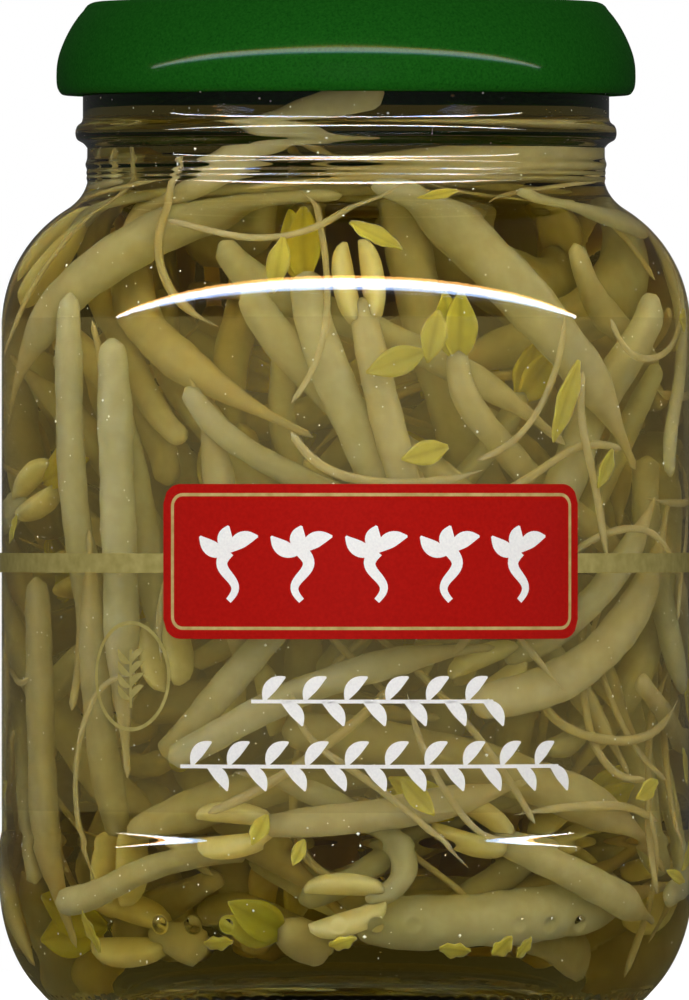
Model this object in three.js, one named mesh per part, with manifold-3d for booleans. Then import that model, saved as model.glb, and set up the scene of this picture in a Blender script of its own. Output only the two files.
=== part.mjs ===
// A glass jar of bean sprouts in brine, closed by a twist-off metal lid.
// Millimetres, +Z up. The origin is the centre of the jar's foot, and the front label faces -Y.
import * as THREE from "three";
import { mergeVertices } from "three/addons/utils/BufferGeometryUtils.js";
import Module from "manifold-3d";

const wasm = await Module();
wasm.setup();

// Driving dimensions of the jar.
const BODY_RADIUS = 39.1;
const WALL = 2.4;
const FOOT_RADIUS = 28;
const HEEL_HEIGHT = 15.5;
const SHOULDER_HEIGHT = 78.6;
const SHOULDER_ARC = 15.5;
const NECK_RADIUS = 29.4;
const FINISH_RADIUS = 29.9;
const BORE_RADIUS = 26.7;
const RIM_HEIGHT = 113.5;
const BEAD = { height: 100.5, radius: 30.75 };
const INNER_HEEL = { radius: 24.7, top: 18.5, floor: 5.9 };
const SEGMENTS = 48;

// The twist-off closure: four lugs on the lid run under four threads on the neck.
const THREADS = 4;
const THREAD_RADIUS = 31.0;
const THREAD_THICKNESS = 1.5;
const THREAD_SPAN = { from: -15, to: 60 };
const UNSCREW_ANGLE = 67.5;
const UNSCREW_RISE = 2.2;
const LUG = { halfAngle: 6, inner: 30.45, bottom: 105.0, top: 106.2 };
const THREAD_CLEARANCE = 0.35;

// The lid, its sealing ring and the labels.
const LID_RADIUS = 32.9;
const LINER = { inner: 25.9, outer: 28.2, bottom: 113.85, top: 114.6 };
const FILM = { bottom: 23.7, top: 79.4, gap: 0.12, thickness: 0.18 };
const FRONT_LABEL = { halfAngle: 36.3, height: 17.4, middle: 51.9, corner: 2.2, thickness: 0.2 };

// Small raised dots round the heel, which the mould leaves in the glass.
const MOULD_DOTS = { height: 11.1, radius: 0.95, pitch: 6.25, pattern: "1110011100111" };

// The brine stands off the glass, with a plain hole that the sprouts stand in.
const BRINE = { standOff: 0.3, skin: 0.8, level: 108, segments: 32 };
const SPROUT_CLEARANCE = 0.35;

const SLIVER = 0.004; // edges shorter than this close up where pieces are fused

const degrees = THREE.MathUtils.degToRad;
const v2 = (r, z) => new THREE.Vector2(r, z);

// Points along an elliptical arc in the (radius, height) plane, both ends included.
function arc(centreR, centreZ, radiusR, radiusZ, from, to, steps) {
  const points = [];
  for (let i = 0; i <= steps; i++) {
    const a = degrees(from + ((to - from) * i) / steps);
    points.push(v2(centreR + radiusR * Math.cos(a), centreZ + radiusZ * Math.sin(a)));
  }
  return points;
}

// The points of a quadratic fillet between its two ends, which are left out.
function fillet(start, control, end, steps) {
  return new THREE.QuadraticBezierCurve(start, control, end).getPoints(steps).slice(1, -1);
}

function lathe(profile, segments) {
  return new THREE.LatheGeometry(profile, segments).rotateX(Math.PI / 2);
}

function toSolid(geometry) {
  const bare = geometry.clone();
  bare.deleteAttribute("normal");
  bare.deleteAttribute("uv");
  const merged = mergeVertices(bare, 1e-4);
  return new wasm.Manifold(
    new wasm.Mesh({
      numProp: 3,
      vertProperties: new Float32Array(merged.attributes.position.array),
      triVerts: new Uint32Array(merged.index.array),
    }),
  );
}

function fromSolid(solid) {
  const mesh = solid.getMesh();
  const geometry = new THREE.BufferGeometry();
  geometry.setAttribute("position", new THREE.BufferAttribute(mesh.vertProperties, 3));
  geometry.setIndex(new THREE.BufferAttribute(mesh.triVerts, 1));
  geometry.computeVertexNormals();
  return geometry;
}

// Fuses pieces and keeps the outer skin, so that no small hollow is left sealed between them.
function fuse(geometries) {
  const whole = geometries.map(toSolid).reduce((sum, piece) => sum.add(piece));
  const parts = whole.asOriginal().simplify(SLIVER).decompose();
  return fromSolid(parts.reduce((a, b) => (a.volume() > b.volume() ? a : b)));
}

// A closed skin over rings of equal point count. Each ring runs right-handed about the way ahead.
function loft(rings) {
  const sides = rings[0].length;
  const points = rings.flat();
  const middle = (ring) => ring.reduce((sum, p) => sum.add(p), new THREE.Vector3()).divideScalar(sides);
  points.push(middle(rings[0]), middle(rings.at(-1)));
  const last = (rings.length - 1) * sides;
  const index = [];
  for (let j = 0; j < sides; j++) {
    const next = (j + 1) % sides;
    for (let i = 0; i < last; i += sides) {
      index.push(i + j, i + next, i + sides + next, i + j, i + sides + next, i + sides + j);
    }
    index.push(points.length - 2, next, j, points.length - 1, last + j, last + next);
  }
  const geometry = new THREE.BufferGeometry().setFromPoints(points);
  geometry.setIndex(index);
  return geometry;
}

// The point at a radius, an azimuth from the front (-Y) towards +X, and a height.
function onCylinder(radius, azimuth, z) {
  return new THREE.Vector3(radius * Math.sin(azimuth), -radius * Math.cos(azimuth), z);
}

// A bar round the axis: section(azimuth in degrees) gives its inner and outer radius, bottom and top.
function roundBar(from, to, steps, section) {
  const rings = [];
  for (let i = 0; i <= steps; i++) {
    const at = from + ((to - from) * i) / steps;
    const { inner, outer, bottom, top } = section(at);
    const corners = [[inner, bottom], [inner, top], [outer, top], [outer, bottom]];
    rings.push(corners.map(([r, z]) => onCylinder(r, degrees(at), z)));
  }
  return loft(rings);
}

// The jar's inner surface, moved in by inset, from the middle of the floor up to the bore.
function insideProfile(inset, topZ) {
  const heelR = BODY_RADIUS - WALL - INNER_HEEL.radius - inset;
  const heelZ = INNER_HEEL.top - INNER_HEEL.floor - inset;
  const arcCentre = BODY_RADIUS - SHOULDER_ARC;
  const shoulder = SHOULDER_ARC - WALL - inset;
  const curve = arc(arcCentre, SHOULDER_HEIGHT, shoulder, shoulder, 0, 54, 4);
  const bore = v2(BORE_RADIUS - inset, SHOULDER_HEIGHT + 16);
  const throat = v2(bore.x + 1.7, bore.y - 2.7);
  return [
    v2(0, INNER_HEEL.floor + inset),
    ...arc(INNER_HEEL.radius, INNER_HEEL.top, heelR, heelZ, -90, 0, 5),
    ...curve,
    ...fillet(curve.at(-1), throat, bore, 3),
    bore,
    v2(BORE_RADIUS - inset, topZ),
  ];
}

function outsideProfile() {
  const arcCentre = BODY_RADIUS - SHOULDER_ARC;
  const shoulder = arc(arcCentre, SHOULDER_HEIGHT, SHOULDER_ARC, SHOULDER_ARC, 0, 58, 6);
  const neck = v2(NECK_RADIUS, SHOULDER_HEIGHT + 16.2);
  return [
    v2(0, 2.6),
    v2(20, 1.7),
    v2(FOOT_RADIUS - 2, 0),
    ...arc(FOOT_RADIUS, HEEL_HEIGHT, BODY_RADIUS - FOOT_RADIUS, HEEL_HEIGHT, -90, 0, 8),
    ...shoulder,
    ...fillet(shoulder.at(-1), v2(NECK_RADIUS + 0.5, neck.y - 1.9), neck, 3),
    neck,
    v2(NECK_RADIUS, BEAD.height - 1.5),
    v2(BEAD.radius - 0.2, BEAD.height - 0.8),
    v2(BEAD.radius, BEAD.height),
    v2(BEAD.radius - 0.2, BEAD.height + 0.8),
    v2(FINISH_RADIUS, BEAD.height + 1.5),
    v2(FINISH_RADIUS, RIM_HEIGHT - 1.8),
    v2(FINISH_RADIUS - 0.7, RIM_HEIGHT - 0.4),
    v2(FINISH_RADIUS - 1.5, RIM_HEIGHT),
    v2(BORE_RADIUS + 0.8, RIM_HEIGHT),
  ];
}

// One thread: its underside climbs at the pace at which the lid rises as it is unscrewed.
function thread(startAzimuth) {
  const pace = UNSCREW_RISE / UNSCREW_ANGLE;
  const { from, to } = THREAD_SPAN;
  return roundBar(startAzimuth + from, startAzimuth + to, 12, (azimuth) => {
    const along = azimuth - startAzimuth;
    const ramp = Math.min(1, (along - from) / 9, (to - along) / 9);
    const bottom = LUG.top + THREAD_CLEARANCE + pace * along;
    const outer = THREE.MathUtils.lerp(FINISH_RADIUS + 0.05, THREAD_RADIUS, ramp);
    return { inner: FINISH_RADIUS - 0.8, outer, bottom, top: bottom + THREAD_THICKNESS };
  });
}

// The heel's outer radius at a height.
function heelRadius(z) {
  const drop = (HEEL_HEIGHT - z) / HEEL_HEIGHT;
  return FOOT_RADIUS + (BODY_RADIUS - FOOT_RADIUS) * Math.sqrt(1 - drop * drop);
}

function mouldDots() {
  const { height, radius, pitch, pattern } = MOULD_DOTS;
  const places = [...pattern].map((mark, i) => [mark, (i - (pattern.length - 1) / 2) * pitch]);
  return places
    .filter(([mark]) => mark === "1")
    .map(([, azimuth]) => {
      const at = onCylinder(heelRadius(height) - radius * 0.45, degrees(azimuth), height);
      return new THREE.SphereGeometry(radius, 7, 5).translate(at.x, at.y, at.z);
    });
}

function glassJar() {
  const profile = [...outsideProfile(), ...insideProfile(0, RIM_HEIGHT - 0.6).reverse()];
  const threads = Array.from({ length: THREADS }, (_, i) => thread((i * 360) / THREADS));
  return fuse([lathe(profile, SEGMENTS), ...threads, ...mouldDots()]);
}

// The lid's sheet metal, from the safety button over the rim and down the flared skirt to its curl.
function lidCap() {
  const outside = [
    v2(0, 114.6), v2(8.2, 114.6), v2(9.8, 115.0), v2(23.0, 115.0), v2(24.6, 115.4),
    v2(28.1, 115.4), v2(29.3, 115.0), v2(29.9, 114.2), v2(31.2, 112.5), v2(32.25, 110.4),
    v2(32.75, 108.8), v2(LID_RADIUS, 107.2), v2(32.8, 105.8), v2(32.3, 104.85), v2(31.7, 104.75),
  ];
  const inside = [
    v2(31.45, 105.3), v2(31.55, 106.2), v2(32.3, 107.0), v2(32.2, 108.7), v2(31.7, 110.3),
    v2(30.65, 112.3), v2(29.4, 113.9), v2(28.9, 114.5), v2(28.1, 114.95), v2(24.9, 114.95),
    v2(23.3, 114.5), v2(10, 114.5), v2(8.4, 114.1), v2(0, 114.1),
  ];
  const lugs = Array.from({ length: THREADS }, (_, i) => {
    const middle = (i * 360) / THREADS;
    const section = () => ({ inner: LUG.inner, outer: 32.2, bottom: LUG.bottom, top: LUG.top });
    return roundBar(middle - LUG.halfAngle, middle + LUG.halfAngle, 3, section);
  });
  const profile = [...outside, ...inside].reverse();
  return fuse([lathe(profile, SEGMENTS), ...lugs]);
}

function ring({ inner, outer, bottom, top }, segments) {
  const corners = [v2(inner, bottom), v2(outer, bottom), v2(outer, top), v2(inner, top), v2(inner, bottom)];
  return lathe(corners, segments);
}

function labelFilm() {
  const inner = BODY_RADIUS + FILM.gap;
  return ring({ inner, outer: inner + FILM.thickness, bottom: FILM.bottom, top: FILM.top }, SEGMENTS);
}

// The coloured front label: a plain plate with rounded corners, curved round the film.
function frontLabel() {
  const inner = BODY_RADIUS + 2 * FILM.gap + FILM.thickness;
  const { halfAngle, height, middle, corner, thickness } = FRONT_LABEL;
  const halfWidth = degrees(halfAngle) * inner;
  return roundBar(-halfAngle, halfAngle, 24, (azimuth) => {
    const fromEnd = halfWidth - Math.abs(degrees(azimuth)) * inner;
    const into = Math.max(0, corner - fromEnd);
    const half = height / 2 - corner + Math.sqrt(Math.max(0, corner * corner - into * into));
    return { inner, outer: inner + thickness, bottom: middle - half, top: middle + half };
  });
}

function brine() {
  const outer = insideProfile(BRINE.standOff, BRINE.level);
  const hole = insideProfile(BRINE.standOff + BRINE.skin, BRINE.level);
  return lathe([...outer, ...hole.reverse()], BRINE.segments);
}

// The sprouts. Each follows the jar's wall from its head to its root, as deep as it must to clear the rest.
// x, z: where the head end is seen from the front, mm. heading: the way it runs, 0 to the right, 90 up.
// bend: how far it turns on the way. hook: how far its neck turns behind the head. girth: the stem's radius.
const FRONT_TURN = -5; // the azimuth that faces the viewer who sees the rows below
const SIGHT_RADIUS = 35.6;
const FRONT_SPROUTS = [
  { x: 1.0, z: 86.0, heading: 278, length: 42, bend: 14, hook: 0, girth: 1.8, head: "beans" },
  { x: 5.2, z: 95.0, heading: 316, length: 44, bend: -10, hook: 0, girth: 2.7, head: "bare" },
  { x: -7.5, z: 88.0, heading: 286, length: 42, bend: 14, hook: 0, girth: 2.1, head: "leaf" },
  { x: -12.5, z: 82.0, heading: 301, length: 38, bend: 34, hook: 0, girth: 2.0, head: "bare" },
  { x: -1.0, z: 91.0, heading: 189, length: 48, bend: 44, hook: 0, girth: 2.3, head: "bare" },
  { x: -18.0, z: 71.5, heading: 296, length: 36, bend: 40, hook: 20, girth: 1.4, head: "bare" },
  { x: -26.5, z: 77.0, heading: 270, length: 50, bend: 4, hook: 0, girth: 2.1, head: "bare" },
  { x: 27.0, z: 76.0, heading: 238, length: 38, bend: -18, hook: 0, girth: 1.3, head: "leaf" },
  { x: 11.0, z: 89.0, heading: 270, length: 42, bend: 44, hook: 0, girth: 2.4, head: "bare" },
  { x: 34.4, z: 81.0, heading: 236, length: 50, bend: -6, hook: 0, girth: 2.3, head: "bare" },
  { x: -18.5, z: 17.8, heading: 318, length: 46, bend: 92, hook: 0, girth: 2.3, head: "bare" },
  { x: -17.0, z: 21.5, heading: 2, length: 38, bend: 14, hook: 0, girth: 1.9, head: "beans" },
  { x: 6.5, z: 27.0, heading: 326, length: 40, bend: 24, hook: 0, girth: 1.9, head: "full" },
  { x: -4.5, z: 13.2, heading: 2, length: 34, bend: 60, hook: 110, girth: 1.4, head: "beans" },
  { x: -8.0, z: 33.0, heading: 354, length: 50, bend: -28, hook: 0, girth: 2.6, head: "bare" },
  { x: 14.5, z: 36.0, heading: 4, length: 42, bend: 64, hook: 0, girth: 2.4, head: "bare" },
  { x: -26.5, z: 20.5, heading: 30, length: 42, bend: -38, hook: 0, girth: 2.4, head: "bare" },
  { x: -13.0, z: 32.5, heading: 88, length: 40, bend: 20, hook: 0, girth: 1.8, head: "beans" },
  { x: -21.5, z: 38.0, heading: 110, length: 42, bend: -16, hook: 0, girth: 1.9, head: "beans" },
  { x: 8.0, z: 66.0, heading: 318, length: 42, bend: -30, hook: 0, girth: 2.0, head: "full" },
  { x: 1.0, z: 11.4, heading: 0, length: 40, bend: 10, hook: 0, girth: 2.6, head: "bare" },
  { x: -34.0, z: 50.0, heading: 268, length: 42, bend: 8, hook: 0, girth: 2.2, head: "bare" },
  { x: 27.0, z: 58.0, heading: 262, length: 44, bend: -20, hook: 0, girth: 2.3, head: "bare" },
  { x: 34.0, z: 27.0, heading: 210, length: 38, bend: 20, hook: 0, girth: 1.9, head: "full" },
  { x: -30.0, z: 13.5, heading: 84, length: 42, bend: 10, hook: 0, girth: 1.9, head: "beans" },
  { x: 6.0, z: 105.0, heading: 196, length: 42, bend: 46, hook: 0, girth: 2.1, head: "bare" },
];
const OTHER_SPROUTS = 28;
const SEED = 20;
const STEP = 1.5;
const HEADS = ["full", "bare", "bare", "leaf", "beans", "bare"];
const HEAD_LENGTHS = {
  full: { leaf: 6.5, beans: 7.5 },
  beans: { leaf: 0, beans: 7.5 },
  leaf: { leaf: 6.5, beans: 0 },
  bare: { leaf: 0, beans: 0 },
};
const BEAN = { halfWidth: 2.8, halfDepth: 2.3, girth: 2.9 };
const BEAN_RINGS = [0, 0.14, 0.4, 0.7, 0.93];
const STEM_RINGS = 9;
const LEAF = { length: 8.6, foot: 2.4, halfWidth: 2.5, thickness: 0.6, girth: 2.5 };
const HOOK_STEPS = 5;
const SPROUTS_BOTTOM = 8.2;
const SPROUTS_TOP = 107;
const DEEPEST = 21;
const AXIS_RADIUS = 4;
const EASE_PASSES = 12;
const PUSH = 0.5;
const SLOPE = 0.5;
const ROUNDS = 80;
const LEAST_SHARE = 0.7;

// A seeded source of numbers from 0 to 1.
function numbers(seed) {
  let state = seed >>> 0;
  return () => {
    state = (state + 0x6d2b79f5) >>> 0;
    let t = Math.imul(state ^ (state >>> 15), state | 1);
    t ^= t + Math.imul(t ^ (t >>> 7), t | 61);
    return ((t ^ (t >>> 14)) >>> 0) / 4294967296;
  };
}

// How far from the axis a sprout of this girth may lie at this height.
function roomRadius(z, girth) {
  const inset = BRINE.standOff + BRINE.skin + SPROUT_CLEARANCE + 0.15 + girth;
  const bore = BORE_RADIUS - inset;
  if (z > SHOULDER_HEIGHT) {
    const arcRadius = SHOULDER_ARC - WALL - inset;
    const rise = z - SHOULDER_HEIGHT;
    const reach = Math.sqrt(Math.max(0, arcRadius * arcRadius - rise * rise));
    return Math.max(bore, rise < arcRadius ? BODY_RADIUS - SHOULDER_ARC + reach : 0);
  }
  const drop = Math.max(0, INNER_HEEL.top - z) / (INNER_HEEL.top - INNER_HEEL.floor - inset);
  const heel = BODY_RADIUS - WALL - INNER_HEEL.radius - inset;
  return INNER_HEEL.radius + heel * Math.sqrt(Math.max(0, 1 - drop * drop));
}

// The radius of the space that a sprout takes, at a distance along it.
function girthAt(sprout, s) {
  const { leaf, beans } = HEAD_LENGTHS[sprout.head];
  if (s < leaf) return LEAF.girth;
  if (s < leaf + beans) return BEAN.girth;
  const t = (s - leaf - beans) / (sprout.length - leaf - beans);
  const root = THREE.MathUtils.smoothstep(t, 0.5, 0.95);
  return sprout.girth * (0.8 + 0.2 * Math.min(1, t / 0.15)) * (1 - 0.72 * root);
}

// Rounds off where the wall turns sharply, towards the axis only.
function ease(points) {
  for (let pass = 0; pass < EASE_PASSES; pass++) {
    for (let i = 1; i < points.length - 1; i++) {
      const middle = (points[i - 1].radius + points[i + 1].radius) / 2;
      points[i].radius = Math.min(points[i].radius, middle);
    }
  }
}

// The points of a sprout at these depths from the wall, up to where it would leave the jar.
function walk(sprout, depths) {
  const count = Math.round(sprout.length / STEP);
  const { leaf, beans } = HEAD_LENGTHS[sprout.head];
  const neck = Math.round((leaf + beans) / STEP);
  let { azimuth, z, heading } = sprout;
  const points = [];
  for (let i = 0; i <= count; i++) {
    const girth = girthAt(sprout, i * STEP);
    if (z < SPROUTS_BOTTOM + girth || z > SPROUTS_TOP - girth) break;
    const dip = sprout.dip * (i / count) ** 2;
    const radius = Math.max(AXIS_RADIUS, roomRadius(z, girth) - depths[i] - dip);
    points.push({ azimuth, z, girth, radius });
    azimuth += (STEP * Math.cos(heading)) / radius;
    z += STEP * Math.sin(heading);
    heading += sprout.bend / count + (i >= neck && i < neck + HOOK_STEPS ? sprout.hook / HOOK_STEPS : 0);
  }
  ease(points);
  return points.map((p) => ({ place: onCylinder(p.radius, p.azimuth, p.z), girth: p.girth }));
}

function touches(point, placed) {
  return placed.some((other) =>
    other.some((q) => point.place.distanceTo(q.place) < point.girth + q.girth + SPROUT_CLEARANCE),
  );
}

// Draws a sprout anywhere round the jar.
function draw(random) {
  return {
    azimuth: degrees(75 + 210 * random()),
    z: 14 + 90 * random(),
    heading: degrees(360 * random()),
    length: 38 + 16 * random(),
    bend: degrees(90 * (random() - 0.5)),
    hook: degrees(150 * (random() - 0.5)),
    girth: 1.7 + 0.9 * random(),
    dip: 5 * random(),
    head: HEADS[Math.floor(HEADS.length * random())],
  };
}

// Bends a sprout in from the wall where it touches the ones before it. Null if it finds no room.
function settle(sprout, placed) {
  const depths = new Array(Math.round(sprout.length / STEP) + 1).fill(0);
  for (let round = 0; round < ROUNDS; round++) {
    const points = walk(sprout, depths);
    if (points.length * STEP < LEAST_SHARE * sprout.length) return null;
    const touching = points.map((point) => touches(point, placed));
    if (!touching.includes(true)) return points;
    const before = [...depths];
    touching.forEach((touched, i) => {
      if (!touched) return;
      depths.forEach((_, j) => {
        depths[j] = Math.max(depths[j], before[i] + PUSH - SLOPE * Math.abs(i - j));
      });
    });
    if (Math.max(...depths) > DEEPEST) return null;
  }
  return null;
}

function placeSprouts() {
  const placed = [];
  const sprouts = [];
  const add = (sprout) => {
    const points = settle(sprout, placed);
    if (points) {
      placed.push(points);
      sprouts.push({ ...sprout, points });
    }
  };
  for (const row of FRONT_SPROUTS) {
    const azimuth = Math.asin(row.x / SIGHT_RADIUS) + degrees(FRONT_TURN);
    const [heading, bend, hook] = [row.heading, row.bend, row.hook].map(degrees);
    add({ ...row, azimuth, heading, bend, hook, dip: 2 });
  }
  const random = numbers(SEED);
  while (sprouts.length < FRONT_SPROUTS.length + OTHER_SPROUTS) add(draw(random));
  return sprouts;
}

// The place on a sprout at a distance along it, with the way along, the way across and the way out.
function frameAt(points, distance) {
  const at = THREE.MathUtils.clamp(distance / STEP, 0, points.length - 1);
  const i = Math.min(points.length - 2, Math.floor(at));
  const here = points[i].place.clone().lerp(points[i + 1].place, at - i);
  const before = points[Math.max(0, i - 1)].place;
  const after = points[Math.min(points.length - 1, i + 2)].place;
  const along = after.clone().sub(before).normalize();
  const wall = new THREE.Vector3(here.x, here.y, 0).normalize();
  const across = new THREE.Vector3().crossVectors(along, wall).normalize();
  const out = new THREE.Vector3().crossVectors(across, along);
  return { here, along, across, out };
}

// The section of a sprout: its half-width, its half-depth, and how deep the cleft between the bean halves is.
function sectionAt(sprout, distance) {
  const { leaf, beans } = HEAD_LENGTHS[sprout.head];
  const past = distance - leaf - beans;
  if (past < 0) {
    const u = (2 * (distance - leaf)) / beans - 1;
    const swell = Math.sqrt(1 - 0.9 * u * u);
    const least = u > 0 ? 0.8 * sprout.girth : 0;
    return { wide: Math.max(least, BEAN.halfWidth * swell), deep: Math.max(least, BEAN.halfDepth * swell), cleft: 0.3 };
  }
  const girth = Math.min(sprout.girth, girthAt(sprout, distance)) * (past === 0 && !beans ? 0.6 : 1);
  return { wide: girth, deep: girth, cleft: 0 };
}

// A sprout's own skin, from the head end to the root.
function skin(sprout) {
  const { leaf, beans } = HEAD_LENGTHS[sprout.head];
  const end = (sprout.points.length - 1) * STEP;
  const sides = beans ? 6 : 5;
  const head = beans ? BEAN_RINGS.map((share) => leaf + share * beans) : [leaf];
  const start = leaf + beans + 1;
  const rest = Array.from({ length: STEM_RINGS }, (_, k) => start + ((end - start) * k) / (STEM_RINGS - 1));
  return loft(
    [...head, ...rest].map((distance) => {
      const { here, across, out } = frameAt(sprout.points, distance);
      const { wide, deep, cleft } = sectionAt(sprout, distance);
      return Array.from({ length: sides }, (_, j) => {
        const a = (2 * Math.PI * j) / sides;
        const pinch = 1 - cleft * Math.abs(Math.cos(a)) ** 4;
        const spoke = out.clone().multiplyScalar(deep * pinch * Math.cos(a));
        return here.clone().add(spoke.addScaledVector(across, wide * pinch * Math.sin(a)));
      });
    }),
  );
}

// The first leaf: a thin pointed blade, whose foot is held in the head.
function blade(sprout) {
  const { leaf, beans } = HEAD_LENGTHS[sprout.head];
  const { here, along, across, out } = frameAt(sprout.points, leaf + Math.min(beans, 1));
  const outline = new THREE.Shape();
  outline.moveTo(-LEAF.length, 0);
  outline.quadraticCurveTo(-LEAF.length / 2, -1.7 * LEAF.halfWidth, LEAF.foot, 0);
  outline.quadraticCurveTo(-LEAF.length / 2, 1.7 * LEAF.halfWidth, -LEAF.length, 0);
  const options = { depth: LEAF.thickness, bevelEnabled: false, curveSegments: 4 };
  const shape = new THREE.ExtrudeGeometry(outline, options).translate(0, 0, -LEAF.thickness / 2);
  const basis = new THREE.Matrix4().makeBasis(along, across.negate(), out);
  return shape.rotateX(0.3).rotateZ(0.09).applyMatrix4(basis).translate(here.x, here.y, here.z);
}

function sproutBody(sprout) {
  const body = skin(sprout);
  return HEAD_LENGTHS[sprout.head].leaf ? fuse([body, blade(sprout)]) : body;
}

const materials = {
  glass: new THREE.MeshStandardMaterial({ color: 0xc9d6cc, roughness: 0.05, metalness: 0, transparent: true, opacity: 0.3 }),
  lid: new THREE.MeshStandardMaterial({ color: 0x14561b, roughness: 0.32, metalness: 0.3 }),
  liner: new THREE.MeshStandardMaterial({ color: 0xe9e4d4, roughness: 0.6, metalness: 0 }),
  film: new THREE.MeshStandardMaterial({ color: 0xf2f2ea, roughness: 0.2, metalness: 0, transparent: true, opacity: 0.12 }),
  label: new THREE.MeshStandardMaterial({ color: 0xb01a10, roughness: 0.4, metalness: 0 }),
  brine: new THREE.MeshStandardMaterial({ color: 0x8a7a30, roughness: 0.05, metalness: 0, transparent: true, opacity: 0.3 }),
  sprout: new THREE.MeshStandardMaterial({ color: 0xcfc79a, roughness: 0.4, metalness: 0 }),
};

const jar = new THREE.Group();

function addPiece(name, geometry, material) {
  const mesh = new THREE.Mesh(geometry, material);
  mesh.name = name;
  jar.add(mesh);
}

addPiece("glass_jar", glassJar(), materials.glass);
addPiece("lid_cap", lidCap(), materials.lid);
addPiece("lid_liner", ring(LINER, SEGMENTS), materials.liner);
addPiece("label_film", labelFilm(), materials.film);
addPiece("front_label", frontLabel(), materials.label);
addPiece("brine", brine(), materials.brine);
placeSprouts().forEach((sprout, i) => {
  addPiece(`sprout_${String(i + 1).padStart(2, "0")}`, sproutBody(sprout), materials.sprout);
});

export default jar;
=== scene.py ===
"""A glass jar of bean sprouts in brine with a green twist-off lid, dressed for rendering.

Points are worked out in millimetres and stored in metres. The jar's axis is +Z and the label faces -Y.
"""

from math import asin, ceil, cos, degrees, dist, floor, pi, radians, sin, sqrt

import bpy
import numpy as np
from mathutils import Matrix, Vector


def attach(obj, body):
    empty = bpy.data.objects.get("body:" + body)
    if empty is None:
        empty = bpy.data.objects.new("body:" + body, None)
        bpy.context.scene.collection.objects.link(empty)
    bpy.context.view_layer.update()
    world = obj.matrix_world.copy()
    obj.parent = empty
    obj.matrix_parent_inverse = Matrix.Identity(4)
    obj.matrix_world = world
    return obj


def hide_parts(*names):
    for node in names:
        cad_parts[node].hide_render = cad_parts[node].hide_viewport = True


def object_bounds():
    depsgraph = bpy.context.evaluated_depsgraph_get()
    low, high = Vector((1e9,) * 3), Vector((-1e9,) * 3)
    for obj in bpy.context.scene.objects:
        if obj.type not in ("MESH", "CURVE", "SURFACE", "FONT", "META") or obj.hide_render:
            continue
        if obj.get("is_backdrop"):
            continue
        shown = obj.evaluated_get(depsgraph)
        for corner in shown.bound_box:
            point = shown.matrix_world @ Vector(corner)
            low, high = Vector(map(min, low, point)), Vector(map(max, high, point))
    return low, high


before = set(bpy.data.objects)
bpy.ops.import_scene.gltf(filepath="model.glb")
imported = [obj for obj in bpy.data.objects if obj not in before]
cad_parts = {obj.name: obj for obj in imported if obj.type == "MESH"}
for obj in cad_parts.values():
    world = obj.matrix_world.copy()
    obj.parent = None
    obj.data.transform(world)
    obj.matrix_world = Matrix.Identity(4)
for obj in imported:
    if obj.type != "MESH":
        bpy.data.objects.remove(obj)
cad_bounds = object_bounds()

MM = 0.001
VIEW_TURN = radians(-5)  # the azimuth of the jar's side that faces the camera

# The jar's main sizes, as in the CAD source.
BODY_RADIUS = 39.1
WALL = 2.4
FOOT_RADIUS = 28.0
HEEL_HEIGHT = 15.5
LEDGE_DEPTH = 0.28  # how far the label's panel is set back from the heel
LEDGE_BOTTOM = 19.6
LEDGE_TOP = 21.5
SHOULDER_HEIGHT = 78.6
SHOULDER_ARC = 15.5
NECK_RADIUS = 29.4
FINISH_RADIUS = 29.9
BORE_RADIUS = 26.7
RIM_HEIGHT = 113.5
BEAD_HEIGHT = 100.5
BEAD_RADIUS = 30.75
INNER_HEEL_RADIUS = 24.7
INNER_HEEL_TOP = 18.5
INNER_FLOOR = 5.9
BRINE_LEVEL = 108.0
LID_TOP = 115.4


# Meshes.


def volume_of(points, faces):
    total = 0.0
    for size in {len(face) for face in faces}:
        corners = points[np.array([face for face in faces if len(face) == size])]
        for i in range(1, size - 1):
            total += np.sum(corners[:, 0] * np.cross(corners[:, i], corners[:, i + 1]))
    return total / 6


def outward(points, faces):
    """The faces of a closed mesh, turned so that they look out."""
    if volume_of(points, faces) < 0:
        return [tuple(reversed(face)) for face in faces]
    return faces


def join(parts):
    """One mesh from several, each of points, faces and, where they have them, colours."""
    faces = []
    count = 0
    for part in parts:
        faces += [tuple(i + count for i in face) for face in part[1]]
        count += len(part[0])
    points = np.vstack([part[0] for part in parts])
    if len(parts[0]) == 2:
        return points, faces
    return points, faces, np.vstack([part[2] for part in parts])


def put(name, data):
    thing = bpy.data.objects.new(name, data)
    bpy.context.scene.collection.objects.link(thing)
    return thing


def add_piece(
    name, points, faces, materials, body="jar", slot=None, stands_for=(), which=None, tint=None, smooth=True
):
    """A closed mesh. which gives each face's material, and tint gives each point's colour."""
    points = np.asarray(points, dtype=float)
    faces = outward(points, faces)
    mesh = bpy.data.meshes.new(name)
    mesh.from_pydata((points * MM).tolist(), [], [tuple(map(int, face)) for face in faces])
    for material in materials:
        mesh.materials.append(material)
    mesh.polygons.foreach_set("use_smooth", [smooth] * len(mesh.polygons))
    if which is not None:
        mesh.polygons.foreach_set("material_index", [int(i) for i in which])
    if tint is not None:
        layer = mesh.color_attributes.new("tint", "FLOAT_COLOR", "POINT")
        colours = np.ones((len(points), 4))
        colours[:, :3] = tint
        layer.data.foreach_set("color", colours.ravel())
    mesh.update()
    piece = put(name, mesh)
    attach(piece, body)
    if stands_for:
        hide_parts(*stands_for)


def wrap_faces(rows, sides, closed=False):
    """Faces between neighbouring rows of points, where each row runs round and meets itself."""
    faces = []
    for i in range(rows if closed else rows - 1):
        a = i * sides
        b = (i + 1) % rows * sides
        for j in range(sides):
            k = (j + 1) % sides
            faces.append((a + j, a + k, b + k, b + j))
    return faces


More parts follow.
